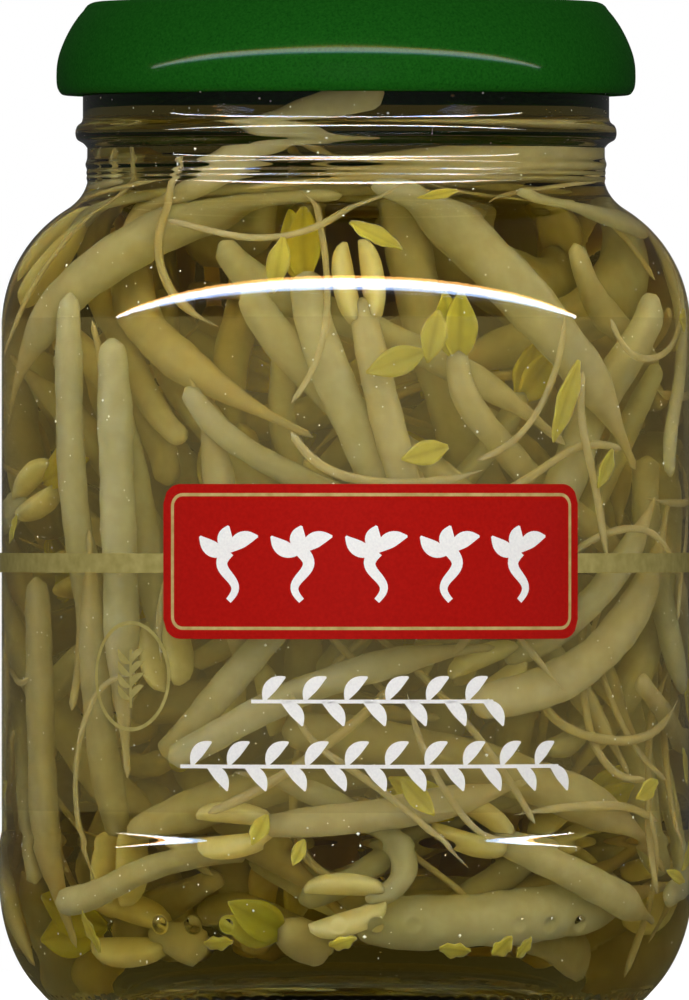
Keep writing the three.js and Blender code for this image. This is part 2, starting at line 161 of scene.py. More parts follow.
def tube_faces(rings, sides):
    """Faces of a tube of point rings, with its two end points after the rings."""
    faces = wrap_faces(rings, sides)
    first = rings * sides
    last = (rings - 1) * sides
    for j in range(sides):
        k = (j + 1) % sides
        faces.append((first, k, j))
        faces.append((first + 1, last + j, last + k))
    return faces


def ring_points(profile, segments, angle=None):
    """Points of a closed profile turned round Z."""
    profile = np.asarray(profile, dtype=float)
    if angle is None:
        angle = np.arange(segments) * 2 * pi / segments
    x = profile[:, :1] * np.sin(angle)
    y = -profile[:, :1] * np.cos(angle)
    z = np.repeat(profile[:, 1:], segments, axis=1)
    return np.stack([x, y, z], axis=2).reshape(-1, 3)


def lathe_points(profile, segments, angle=None):
    """Points of a profile turned round Z. Its two ends lie on the axis."""
    rings = ring_points(profile[1:-1], segments, angle)
    return np.vstack([rings, [[0, 0, profile[0, 1]], [0, 0, profile[-1, 1]]]])


def arc(centre_r, centre_z, radius_r, radius_z, start, end, steps):
    angle = np.radians(np.linspace(start, end, steps + 1))
    return np.stack([centre_r + radius_r * np.cos(angle), centre_z + radius_z * np.sin(angle)], axis=1)


def smooth_curve(points, spacing):
    """A Catmull-Rom curve through 2-D or 3-D points, sampled about evenly."""
    p = np.asarray(points, dtype=float)
    ends = [2 * p[0] - p[1], *p, 2 * p[-1] - p[-2]]
    out = []
    for a, b, c, d in zip(ends, ends[1:], ends[2:], ends[3:]):
        steps = max(1, int(ceil(np.linalg.norm(np.subtract(c, b)) / spacing)))
        for t in np.arange(steps) / steps:
            square = (2 * a - 5 * b + 4 * c - d) * t * t
            out.append(0.5 * (2 * b + (c - a) * t + square + (3 * b - a - 3 * c + d) * t ** 3))
    out.append(p[-1])
    return np.array(out)


def unit_rows(vectors):
    return vectors / np.maximum(np.linalg.norm(vectors, axis=1, keepdims=True), 1e-9)


def smoothstep(x, low, high):
    t = np.clip((x - low) / (high - low), 0, 1)
    return t * t * (3 - 2 * t)


# Materials.


def new_material(name):
    material = bpy.data.materials.new(name)
    material.use_nodes = True
    tree = material.node_tree
    return material, tree, tree.nodes["Principled BSDF"]


def set_inputs(shader, values):
    for socket, value in values.items():
        shader.inputs[socket].default_value = value


def node(tree, kind, **settings):
    made = tree.nodes.new(kind)
    for key, value in settings.items():
        setattr(made, key, value)
    return made


def noise(tree, scale, detail=3.0, roughness=0.5, stretch=(1, 1, 1)):
    place = node(tree, "ShaderNodeTexCoord")
    mapping = node(tree, "ShaderNodeMapping")
    mapping.inputs["Scale"].default_value = stretch
    texture = node(tree, "ShaderNodeTexNoise")
    set_inputs(texture, {"Scale": scale, "Detail": detail, "Roughness": roughness})
    tree.links.new(place.outputs["Object"], mapping.inputs["Vector"])
    tree.links.new(mapping.outputs["Vector"], texture.inputs["Vector"])
    return texture.outputs["Fac"]


def ramp(tree, factor, stops):
    made = node(tree, "ShaderNodeValToRGB")
    elements = made.color_ramp.elements
    for element, (position, colour) in zip(elements, stops):
        element.position = position
        element.color = (*colour, 1)
    for position, colour in stops[2:]:
        elements.new(position).color = (*colour, 1)
    tree.links.new(factor, made.inputs["Fac"])
    return made.outputs["Color"]


def bump(tree, height, strength, distance):
    made = node(tree, "ShaderNodeBump")
    set_inputs(made, {"Strength": strength, "Distance": distance})
    tree.links.new(height, made.inputs["Height"])
    return made.outputs["Normal"]


def choose(tree, output, ray, usual, special):
    """One kind of ray sees the special shader, and every other ray sees the usual one."""
    path = node(tree, "ShaderNodeLightPath")
    mix = node(tree, "ShaderNodeMixShader")
    tree.links.new(path.outputs[ray], mix.inputs["Fac"])
    tree.links.new(usual.outputs[0], mix.inputs[1])
    tree.links.new(special.outputs[0], mix.inputs[2])
    tree.links.new(mix.outputs["Shader"], tree.nodes[output].inputs["Surface"])


def clear_material(name, ior, colour, shadow_colour, waves=0.0):
    """Clear, and open to the light of the lamps. waves are its unevenness as a share of 0.4 mm."""
    material, tree, shader = new_material(name)
    set_inputs(shader, {"Base Color": (*colour, 1), "Transmission Weight": 1, "Roughness": 0, "IOR": ior})
    if waves:
        tree.links.new(bump(tree, noise(tree, 60, 2), waves, 0.0004), shader.inputs["Normal"])
    clear = node(tree, "ShaderNodeBsdfTransparent")
    set_inputs(clear, {"Color": (*shadow_colour, 1)})
    choose(tree, "Material Output", "Is Shadow Ray", shader, clear)
    return material


glass = clear_material("glass", 1.5, (0.93, 0.96, 0.92), (0.9, 0.93, 0.88), 0.08)
glass_in_brine = clear_material("glass_in_brine", 1.13, (1, 1, 1), (0.98, 0.98, 0.98))


def brine_material():
    material = clear_material("brine", 1.0, (1, 1, 1), (1, 1, 1))
    tree = material.node_tree
    absorb = node(tree, "ShaderNodeVolumeAbsorption")
    set_inputs(absorb, {"Color": (0.84, 0.76, 0.28, 1), "Density": 75})
    tree.links.new(absorb.outputs["Volume"], tree.nodes["Material Output"].inputs["Volume"])
    return material


brine = brine_material()


def lid_material():
    material, tree, shader = new_material("lid_lacquer")
    speckle = noise(tree, 3200, 4, 0.7)
    colour = ramp(tree, speckle, [(0.3, (0.004, 0.054, 0.004)), (0.72, (0.011, 0.104, 0.008))])
    tree.links.new(colour, shader.inputs["Base Color"])
    set_inputs(shader, {"Roughness": 0.5, "Specular IOR Level": 0})
    set_inputs(shader, {"Coat Weight": 0.16, "Coat Roughness": 0.1})
    tree.links.new(bump(tree, noise(tree, 3000, 2), 0.2, 0.00003), shader.inputs["Normal"])
    return material


lid_green = lid_material()


def plain_material(name, low, high, scale, roughness, grain=0.15):
    material, tree, shader = new_material(name)
    set_inputs(shader, {"Specular IOR Level": 0.02, "Roughness": roughness})
    colour = ramp(tree, noise(tree, scale, 3), [(0.3, low), (0.7, high)])
    tree.links.new(colour, shader.inputs["Base Color"])
    tree.links.new(bump(tree, noise(tree, scale * 4, 2), grain, 0.00003), shader.inputs["Normal"])
    return material


liner_cream = plain_material("liner_cream", (0.70, 0.66, 0.52), (0.82, 0.79, 0.68), 500, 0.55)
print_red = plain_material("print_red", (0.35, 0.005, 0.003), (0.42, 0.007, 0.004), 2500, 0.42)
print_gold = plain_material("print_gold", (0.42, 0.30, 0.10), (0.58, 0.44, 0.18), 900, 0.38)
print_white = plain_material("print_white", (0.86, 0.86, 0.88), (0.95, 0.95, 0.95), 4000, 0.5)
print_pale_gold = plain_material("print_pale_gold", (0.30, 0.26, 0.08), (0.40, 0.34, 0.12), 900, 0.4)
# Matte white for the specks in the brine: painted glints of small bubbles.
painted_glint_white = plain_material("painted_glint_white", (0.86, 0.86, 0.80), (0.98, 0.98, 0.94), 3000, 0.6)


def film_material():
    material, tree, shader = new_material("film_clear")
    haze = ramp(tree, noise(tree, 90, 3), [(0.3, (0.68, 0.54, 0.16)), (0.7, (0.82, 0.68, 0.26))])
    tree.links.new(haze, shader.inputs["Base Color"])
    set_inputs(shader, {"Roughness": 0.12, "Alpha": 0.05})
    return material


film_clear = film_material()
film_edge = plain_material("film_edge", (0.30, 0.30, 0.20), (0.42, 0.42, 0.30), 900, 0.3)


def blend(tree, share, first, second):
    """A mix of two shaders that holds the given share of the second."""
    mix = node(tree, "ShaderNodeMixShader")
    set_inputs(mix, {"Fac": share})
    tree.links.new(first.outputs[0], mix.inputs[1])
    tree.links.new(second.outputs[0], mix.inputs[2])
    return mix


def sprout_material():
    """Moist flesh that lets light through and shows a little of what lies behind it."""
    material, tree, shader = new_material("sprout")
    tint = node(tree, "ShaderNodeAttribute", attribute_name="tint")
    mottle = ramp(tree, noise(tree, 420, 4, 0.6), [(0.25, (0.80, 0.78, 0.70)), (0.75, (1.0, 1.0, 1.0))])
    mix = node(tree, "ShaderNodeMix", data_type="RGBA", blend_type="MULTIPLY")
    mix.inputs["Factor"].default_value = 1
    tree.links.new(tint.outputs["Color"], mix.inputs[6])
    tree.links.new(mottle, mix.inputs[7])
    tree.links.new(mix.outputs[2], shader.inputs["Base Color"])
    set_inputs(shader, {"Roughness": 0.5, "IOR": 1.36, "Specular IOR Level": 0.2, "Subsurface Weight": 1})
    set_inputs(shader, {"Subsurface Radius": (1.0, 0.9, 0.55), "Subsurface Scale": 0.004})
    through = node(tree, "ShaderNodeBsdfTranslucent")
    tree.links.new(mix.outputs[2], through.inputs["Color"])
    flesh = blend(tree, 0.4, shader, through)
    watery = blend(tree, 0.22, flesh, node(tree, "ShaderNodeBsdfTransparent"))
    tree.links.new(watery.outputs["Shader"], tree.nodes["Material Output"].inputs["Surface"])
    return material


sprout_skin = sprout_material()


# Glass jar.


def fillet(start, pull, end):
    """A curve from start to end, without them, drawn towards pull."""
    t = np.linspace(0, 1, 8)[1:-1, None]
    return (1 - t) ** 2 * start + 2 * t * (1 - t) * np.array(pull) + t * t * end


def inside_profile(inset, top):
    """The jar's inner surface, moved in by inset, from the middle of the floor up."""
    heel_r = BODY_RADIUS - WALL - INNER_HEEL_RADIUS - inset
    heel_z = INNER_HEEL_TOP - INNER_FLOOR - inset
    shoulder = SHOULDER_ARC - WALL - inset
    heel = arc(INNER_HEEL_RADIUS, INNER_HEEL_TOP, heel_r, heel_z, -90, 0, 16)
    curve = arc(BODY_RADIUS - SHOULDER_ARC, SHOULDER_HEIGHT, shoulder, shoulder, 0, 54, 12)
    bore = BORE_RADIUS - inset
    height = SHOULDER_HEIGHT + 16
    throat = fillet(curve[-1], [bore + 1.7, height - 2.7], [bore, height])
    base = [[r, INNER_FLOOR + inset + rise] for r, rise in ((0, 0.25), (12, 0.2), (20, 0.05))]
    wall = [[BODY_RADIUS - WALL - inset, z] for z in np.linspace(INNER_HEEL_TOP, SHOULDER_HEIGHT, 10)[1:-1]]
    return np.vstack([base, heel, wall, curve, throat, [[bore, height], [bore, top]]])


def outside_profile():
    heel_radius = BODY_RADIUS + LEDGE_DEPTH
    heel_shape = (FOOT_RADIUS, HEEL_HEIGHT, heel_radius - FOOT_RADIUS, HEEL_HEIGHT)
    heel = np.vstack([arc(*heel_shape, -90, -28, 26), arc(*heel_shape, -28, 0, 28)[1:]])
    rise = np.linspace(0, 1, 15)
    ledge_z = LEDGE_BOTTOM + (LEDGE_TOP - LEDGE_BOTTOM) * rise
    ledge = np.stack([heel_radius - LEDGE_DEPTH * smoothstep(rise, 0, 1), ledge_z], axis=1)
    shoulder = arc(BODY_RADIUS - SHOULDER_ARC, SHOULDER_HEIGHT, SHOULDER_ARC, SHOULDER_ARC, 0, 58, 20)
    neck = SHOULDER_HEIGHT + 16.2
    throat = fillet(shoulder[-1], [NECK_RADIUS + 0.5, neck - 1.9], [NECK_RADIUS, neck])
    radii = [NECK_RADIUS, NECK_RADIUS + 0.45, BEAD_RADIUS - 0.2, BEAD_RADIUS, BEAD_RADIUS - 0.2]
    radii += [FINISH_RADIUS + 0.15, FINISH_RADIUS]
    heights = [BEAD_HEIGHT + rise for rise in (-1.7, -1.2, -0.75, 0, 0.75, 1.2, 1.7)]
    bead = smooth_curve(list(zip(radii, heights)), 0.16)
    ripple_z = np.arange(neck, BEAD_HEIGHT - 1.8, 0.09)
    ripple_r = np.full_like(ripple_z, NECK_RADIUS)
    for middle, half, height_r in ((95.35, 0.15, 0.09), (95.95, 0.17, 0.1), (96.9, 0.34, 0.2)):
        ripple_r += height_r * np.exp(-0.5 * ((ripple_z - middle) / half) ** 2)
    ripples = np.stack([ripple_r, ripple_z], axis=1)
    finish = [[FINISH_RADIUS, z] for z in np.arange(102.6, 111.6, 0.3)]
    rim = arc(FINISH_RADIUS - 1.5, RIM_HEIGHT - 1.5, 1.5, 1.5, 0, 90, 8)
    inner_rim = arc(BORE_RADIUS + 0.9, RIM_HEIGHT - 0.9, 0.9, 0.9, 90, 180, 6)
    foot = [[0, 2.6], [14, 2.2], [20, 1.7], [23.5, 0.7], [25.2, 0.12], [26.0, 0]]
    wall = [[BODY_RADIUS, z] for z in np.linspace(LEDGE_TOP, SHOULDER_HEIGHT, 12)[1:-1]]
    low = [foot, heel, ledge, wall, shoulder]
    return np.vstack([*low, throat, ripples, bead, finish, rim, inner_rim])


def make_glass():
    angle = np.radians(np.concatenate([np.arange(-44, 44, 0.25), np.arange(44, 316, 0.8)]))
    segments = len(angle)
    outside = outside_profile()
    inside = inside_profile(0, BRINE_LEVEL)[::-1]
    above = [[BORE_RADIUS, z] for z in (111.5, 110.0)]
    profile = np.vstack([outside, above, inside])
    points = lathe_points(profile, segments, angle)
    ring = points[: (len(profile) - 2) * segments]
    radius = np.hypot(ring[:, 0], ring[:, 1])
    azimuth = np.degrees(np.arctan2(ring[:, 0], -ring[:, 1]))
    z = ring[:, 2]
    outer = np.repeat(np.arange(1, len(profile) - 1) < len(outside), segments)
    swell = np.zeros(len(ring))

    # Four threads, whose undersides climb as the lid rises.
    for start in (0, 90, 180, 270):
        along = (azimuth - start + 180) % 360 - 180
        inside_span = smoothstep(along, -15, -7) * (1 - smoothstep(along, 52, 60))
        middle = 106.55 + 0.0326 * along + 0.75
        crest = np.clip(1 - ((z - middle) / 0.85) ** 2, 0, 1) ** 0.7
        swell += 1.1 * inside_span * crest * (outer & (z > 103))

    # Raised dots that the mould leaves round the heel.
    for i, mark in enumerate("1110011100111"):
        if mark == "1":
            place = (i - 6) * 6.25
            across = np.radians(azimuth - place) * 38.4
            reach = np.clip(1 - (across ** 2 + (z - 11.1) ** 2) / 0.95 ** 2, 0, 1)
            swell += 0.25 * reach * outer

    # Knurling that keeps the foot off the surface.
    knurl = np.abs(np.sin(np.radians(azimuth) * 60 + 2.0 * z)) * smoothstep(z, 0.35, 0.8)
    swell += 0.16 * knurl * (1 - smoothstep(z, 2.2, 3.0)) * (outer & (radius > 28))

    scale = 1 + swell / np.maximum(radius, 1)
    ring[:, 0] *= scale
    ring[:, 1] *= scale
    rows = len(profile) - 2
    faces = tube_faces(rows, segments)
    row_wet = np.arange(rows) >= len(outside) + 1
    which = [int(row_wet[i]) for i in range(rows - 1) for _ in range(segments)]
    which += [value for _ in range(segments) for value in (0, 1)]
    materials = [glass, glass_in_brine]
    add_piece("glass", points, faces, materials, slot="glass", stands_for=["glass_jar"], which=which)


def make_brine():
    segments = 192
    profile = np.vstack([inside_profile(0.04, BRINE_LEVEL - 0.1), [[0, BRINE_LEVEL - 0.1]]])
    points = lathe_points(profile, segments)
    faces = tube_faces(len(profile) - 2, segments)
    add_piece("brine_liquid", points, faces, [brine], slot="brine", stands_for=["brine"])


make_glass()
make_brine()


# Lid.


def make_lid():
    segments = 240
    outside = smooth_curve(
        [
            (0, 114.62), (4, 114.62), (7.6, 114.6), (8.5, 114.68), (9.2, 114.92), (10.2, 115.0),
            (16, 115.0), (22.6, 115.0), (23.6, 115.08), (24.3, 115.32), (25.2, 115.4), (27.9, 115.4),
            (28.8, 115.28), (29.4, 114.95), (29.85, 114.35), (30.4, 113.7), (31.15, 112.6), (31.8, 111.4),
            (32.28, 110.3), (32.65, 109.2), (32.85, 108.1), (32.9, 107.1), (32.88, 106.2), (32.75, 105.5),
            (32.4, 104.95), (32.05, 104.78), (31.7, 104.85), (31.5, 105.2),
        ],
        0.35,
    )
    inside = smooth_curve(
        [
            (31.5, 105.2), (31.48, 105.9), (31.8, 106.5), (32.3, 107.1), (32.28, 108.2), (31.9, 109.6),
            (31.2, 111.2), (30.3, 112.7), (29.5, 113.8), (28.9, 114.5), (28.1, 114.92), (25.0, 114.92),
            (23.9, 114.7), (23.2, 114.55), (16, 114.52), (10.0, 114.5), (9.0, 114.3), (8.3, 114.14),
            (4, 114.12), (0, 114.12),
        ],
        0.5,
    )
    profile = np.vstack([outside, inside[1:]])
    profile[:, 1] = np.minimum(profile[:, 1], LID_TOP)
    points = lathe_points(profile, segments)
    parts = [(points, outward(points, tube_faces(len(profile) - 2, segments)))]

    # Four lugs pressed inwards from the curl.
    for start in (0, 90, 180, 270):
        rings = []
        for a in np.radians(np.linspace(start - 6, start + 6, 13)):
            ease = 1 - abs(degrees(a) - start) / 6
            tip = 31.4 - 0.95 * smoothstep(ease, 0, 0.35)
            section = [(tip, 105.3), (tip, 105.9), (tip + 0.2, 106.15)]
            section += [(32.1, 106.2), (32.1, 105.0), (tip + 0.25, 105.02)]
            rings += [(r * sin(a), -r * cos(a), z) for r, z in section]
        rings = np.array(rings)
        lug = np.vstack([rings, rings[:6].mean(axis=0), rings[-6:].mean(axis=0)])
        parts.append((lug, outward(lug, tube_faces(13, 6))))
    add_piece("lid", *join(parts), [lid_green], body="lid", slot="lid_lacquer", stands_for=["lid_cap"])


def make_liner():
    low = [arc(26.4, 114.1, 0.45, 0.24, 180, 270, 5), arc(27.7, 114.1, 0.45, 0.24, 270, 360, 5)]
    high = [arc(27.7, 114.38, 0.45, 0.2, 0, 90, 5), arc(26.4, 114.38, 0.45, 0.2, 90, 180, 5)]
    profile = np.vstack(low + high)
    points = ring_points(profile, 192)
    faces = wrap_faces(len(profile), 192, True)
    add_piece("sealing_ring", points, faces, [liner_cream], "liner", "liner", ["lid_liner"])


make_lid()
make_liner()


# Label film and print.

FILM_RADIUS = 39.3

def ring_band(name, inner, outer, bottom, top, materials, stands_for=()):
    """A thin band round the jar. Its narrow edges take the second material where there is one."""
    segments = 240
    points = ring_points([(inner, bottom), (outer, bottom), (outer, top), (inner, top)], segments)
    faces = wrap_faces(4, segments, True)
    which = None
    if len(materials) > 1:
        which = [row % 2 == 0 for row in range(4) for _ in range(segments)]
    add_piece(name, points, faces, materials, slot="film", stands_for=stands_for, which=which, smooth=False)


def stroke(path, widths, inner, outer, closed=False):
    """A printed line on the cylinder, as points and faces. path holds (mm along the arc, height)."""
    path = np.asarray(path, dtype=float)
    widths = np.broadcast_to(np.asarray(widths, dtype=float), (len(path),))
    if closed:
        way = np.roll(path, -1, axis=0) - np.roll(path, 1, axis=0)
    else:
        way = np.gradient(path, axis=0)
    way = unit_rows(way)
    side = np.stack([-way[:, 1], way[:, 0]], axis=1) * widths[:, None] / 2
    rows = []
    for radius, edge in ((inner, 1), (inner, -1), (outer, -1), (outer, 1)):
        p = path + edge * side
        angle = p[:, 0] / FILM_RADIUS
        rows.append(np.stack([radius * np.sin(angle), -radius * np.cos(angle), p[:, 1]], axis=1))
    rings = np.stack(rows, axis=1).reshape(-1, 3)
    faces = wrap_faces(len(path), 4, closed)
    if not closed:
        faces += [(3, 2, 1, 0), tuple(len(path) * 4 - 4 + j for j in range(4))]
    return rings, outward(rings, faces)


def leaf_stroke(x, z, length, width, angle, inner, outer):
    """A printed leaf from its foot at (x, z), leaning at an angle."""
    t = np.linspace(0, 1, 13)
    bend = 0.14 * length * np.sin(pi * t)
    way = np.array([cos(angle), sin(angle)])
    side = np.array([-way[1], way[0]])
    path = np.array([x, z]) + t[:, None] * length * way + bend[:, None] * side
    widths = width * np.sin(pi * np.clip(t, 0.02, 0.98)) ** 0.75
    return stroke(path, widths, inner, outer)


def rounded_outline(width, height, corner, spacing=0.5):
    points = []
    for right, up, start in ((1, 1, 0), (-1, 1, 90), (-1, -1, 180), (1, -1, 270)):
        middle = (right * (width / 2 - corner), up * (height / 2 - corner))
        for a in np.radians(np.linspace(start, start + 90, 9)):
            points.append(np.add(middle, (corner * cos(a), corner * sin(a))))
    dense = []
    for a, b in zip(points, points[1:] + points[:1]):
        steps = max(1, int(dist(a, b) / spacing))
        dense += [a + (b - a) * t / steps for t in range(steps)]
    return np.array(dense)


LABEL_MIDDLE = 51.9
LABEL_WIDTH = 2 * radians(36.3) * FILM_RADIUS
LABEL_HEIGHT = 17.4
LABEL_CORNER = 2.2


def make_prints():
    ring_band("label_wrap", 39.22, 39.28, 23.7, 79.4, [film_clear, film_edge], ["label_film"])
    ring_band("gold_band", 39.30, 39.34, 50.6, 52.8, [print_pale_gold])

    # The red label, with its keyline and a row of sprouts.
    x = np.linspace(-LABEL_WIDTH / 2, LABEL_WIDTH / 2, 121)
    into = np.clip(LABEL_CORNER - (LABEL_WIDTH / 2 - np.abs(x)), 0, LABEL_CORNER)
    height = LABEL_HEIGHT - 2 * LABEL_CORNER + 2 * np.sqrt(LABEL_CORNER ** 2 - into ** 2)
    path = np.stack([x, np.full_like(x, LABEL_MIDDLE)], axis=1)
    label = stroke(path, height, 39.38, 39.5)
    add_piece("red_label", *label, [print_red], slot="label_red", stands_for=["front_label"], smooth=False)

    outline = rounded_outline(LABEL_WIDTH - 2.4, LABEL_HEIGHT - 2.4, 1.3)
    outline[:, 1] += LABEL_MIDDLE
    keyline = stroke(outline, 0.36, 39.5, 39.54, closed=True)
    add_piece("gold_keyline", *keyline, [print_gold], slot="label_red", smooth=False)

    parts = []
    for i in range(5):
        x = (i - 2) * 8.4
        t = np.linspace(0, 1, 21)
        sway = 0.8 * np.sin(2 * pi * t) * (1 if i % 2 == 0 else -1)
        stem = np.stack([x + sway, LABEL_MIDDLE - 4.4 + 5.6 * t], axis=1)
        parts.append(stroke(stem, np.linspace(0.7, 1.5, 21), 39.5, 39.545))
        for angle in (28, 90, 152):
            reach = 3.0 if angle == 90 else 3.9
            parts.append(leaf_stroke(x, LABEL_MIDDLE + 1.0, reach, 1.8, radians(angle), 39.5, 39.545))
    add_piece("white_sprouts", *join(parts), [print_white], slot="film", smooth=False)

    # Two white garlands below the label.
    parts = []
    for middle, width, pairs in ((36.2, 27.8, 6), (28.9, 45.0, 10)):
        x = np.linspace(-width / 2, width / 2, 61) - 0.3
        parts.append(stroke(np.stack([x, np.full_like(x, middle)], axis=1), 0.42, 39.3, 39.345))
        for i in range(pairs):
            foot = -width / 2 + (i + 0.25) * width / pairs
            for side in (1, -1):
                shift = 0 if side > 0 else width / pairs * 0.42
                angle = side * radians(48)
                parts.append(leaf_stroke(foot + shift, middle, 3.7, 1.5, angle, 39.3, 39.345))
    add_piece("white_garlands", *join(parts), [print_white], slot="film", smooth=False)

    # A plain gold ring with a sprig at the left.
    centre = radians(-43) * FILM_RADIUS
    a = np.linspace(0, 2 * pi, 97)[:-1]
    outline = np.stack([centre + 5.2 * np.cos(a), 39.0 + 6.0 * np.sin(a)], axis=1)
    parts = [stroke(outline, 0.42, 39.3, 39.34, closed=True)]
    parts.append(stroke(np.array([(centre, 35.4 + 0.6 * i) for i in range(12)]), 0.32, 39.3, 39.34))
    for i in range(4):
        for side in (1, -1):
            angle = pi / 2 - side * radians(50)
            parts.append(leaf_stroke(centre, 36.4 + 1.35 * i, 2.4, 0.8, angle, 39.3, 39.34))
    add_piece("gold_ring", *join(parts), [print_pale_gold], slot="film", smooth=False)


make_prints()


# Sprouts.


SIGHT_RADIUS = 35.6
# Head end as seen from the front (x, z), heading, length, bend, girth, head, and the hook of a few.
FRONT_SPROUTS = [
    (1.0, 86.0, 278, 42, 14, 1.8, "beans"), (5.2, 95.0, 316, 44, -10, 2.7, "bare"),
    (-7.5, 88.0, 286, 42, 14, 2.1, "leaf"), (-12.5, 82.0, 301, 38, 34, 2.0, "bare"),
    (-1.0, 91.0, 189, 48, 44, 2.3, "bare"), (-18.0, 71.5, 296, 36, 40, 1.4, "bare", 20),
    (-26.5, 77.0, 270, 50, 4, 2.1, "bare"), (27.0, 76.0, 238, 38, -18, 1.3, "leaf"),
    (11.0, 89.0, 270, 42, 44, 2.4, "bare"), (34.4, 81.0, 236, 50, -6, 2.3, "bare"),
    (-18.5, 17.8, 318, 46, 92, 2.3, "bare"), (-17.0, 21.5, 2, 38, 14, 1.9, "beans"),
    (6.5, 27.0, 326, 40, 24, 1.9, "full"), (-4.5, 13.2, 2, 34, 60, 1.4, "beans", 110),
    (-8.0, 33.0, 354, 50, -28, 2.6, "bare"), (14.5, 36.0, 4, 42, 64, 2.4, "bare"),
    (-26.5, 20.5, 30, 42, -38, 2.4, "bare"), (-13.0, 32.5, 88, 40, 20, 1.8, "beans"),
    (-21.5, 38.0, 110, 42, -16, 1.9, "beans"), (8.0, 66.0, 318, 42, -30, 2.0, "full"),
    (1.0, 11.4, 0, 40, 10, 2.6, "bare"), (-34.0, 50.0, 268, 42, 8, 2.2, "bare"),
    (27.0, 58.0, 262, 44, -20, 2.3, "bare"), (34.0, 27.0, 210, 38, 20, 1.9, "full"),
    (-30.0, 13.5, 84, 42, 10, 1.9, "beans"), (6.0, 105.0, 196, 42, 46, 2.1, "bare"),
]
# More that only the finer model has.
MORE_FRONT_SPROUTS = [
    (3.0, 91.6, 252, 38, 0, 1.8, "beans"), (0.5, 96.0, 186, 50, 39, 2.4, "bare"),
    (-30.8, 81.6, 270, 46, 0, 1.9, "bare"), (-34.5, 76.0, 268, 46, 0, 2.3, "bare"),
    (26.6, 72.5, 236, 46, 0, 2.6, "bare"), (-20.0, 59.5, 95, 40, 0, 1.8, "beans"),
    (-14.0, 59.8, 5, 40, -40, 2.4, "bare"), (-9.4, 52.0, 271, 40, -10, 2.2, "bare"),
    (-21.7, 33.3, 70, 38, 0, 1.8, "beans"), (11.0, 28.4, 0, 44, 50, 2.2, "bare"),
    (-18.5, 19.0, 322, 44, 80, 2.3, "bare"), (29.0, 12.5, 100, 38, 20, 1.8, "beans"),
    (-26.0, 13.0, 98, 42, 0, 2.2, "bare"), (-20.6, 12.0, 80, 38, 0, 1.8, "beans"),
    (14.0, 14.0, 350, 40, 30, 2.6, "bare"), (-33.0, 46.0, 268, 46, 0, 2.2, "bare"),
    (-27.5, 45.0, 274, 34, 0, 2.0, "bare"), (30.5, 55.0, 262, 42, 0, 2.0, "bare"),
    (-12.0, 104.0, 200, 42, 30, 2.0, "bare"), (24.0, 92.0, 300, 46, 0, 2.2, "bare"),
]
OTHER_SPROUTS = 28
MORE_SPROUTS = 230
LOOSE_ROOTS = 130
BATCH = 20
STEP = 1.5
HEADS = ["full", "bare", "bare", "leaf", "beans", "bare"]
HEAD_LENGTHS = {"full": (6.5, 7.5), "beans": (0, 7.5), "leaf": (6.5, 0), "bare": (0, 0)}
BEAN_GIRTH = 2.9
LEAF_GIRTH = 2.5


def numbers(seed):
    """The same seeded source of numbers from 0 to 1 as in the CAD source."""
    state = seed & 0xFFFFFFFF
    while True:
        state = (state + 0x6D2B79F5) & 0xFFFFFFFF
        t = ((state ^ (state >> 15)) * (state | 1)) & 0xFFFFFFFF
        t ^= (t + (((t ^ (t >> 7)) * (t | 61)) & 0xFFFFFFFF)) & 0xFFFFFFFF
        yield ((t ^ (t >> 14)) & 0xFFFFFFFF) / 4294967296


def room_radius(z, girth, gap):
    """How far out a sprout of this girth may lie, this gap off the wall. With 0 and 0, the wall itself."""
    inset = gap + girth
    bore = BORE_RADIUS - inset
    if z > SHOULDER_HEIGHT:
        arc_radius = SHOULDER_ARC - WALL - inset
        rise = z - SHOULDER_HEIGHT
        reach = sqrt(max(0, arc_radius * arc_radius - rise * rise))
        return max(bore, BODY_RADIUS - SHOULDER_ARC + reach if rise < arc_radius else 0)
    drop = max(0, INNER_HEEL_TOP - z) / (INNER_HEEL_TOP - INNER_FLOOR - inset)
    heel = BODY_RADIUS - WALL - INNER_HEEL_RADIUS - inset
    return INNER_HEEL_RADIUS + heel * sqrt(max(0, 1 - drop * drop))


def girth_at(sprout, s):
    leaf, beans = HEAD_LENGTHS[sprout["head"]]
    if s < leaf:
        return LEAF_GIRTH
    if s < leaf + beans:
        return BEAN_GIRTH
    t = (s - leaf - beans) / (sprout["length"] - leaf - beans)
    start = sprout.get("taper", 0.5)
    x = min(1, max(0, (t - start) / (0.95 - start)))
    root = x * x * (3 - 2 * x)
    full = sprout["girth"] * (0.8 + 0.2 * min(1, t / 0.15))
    return full * (1 - sprout.get("thinning", 0.72) * root)


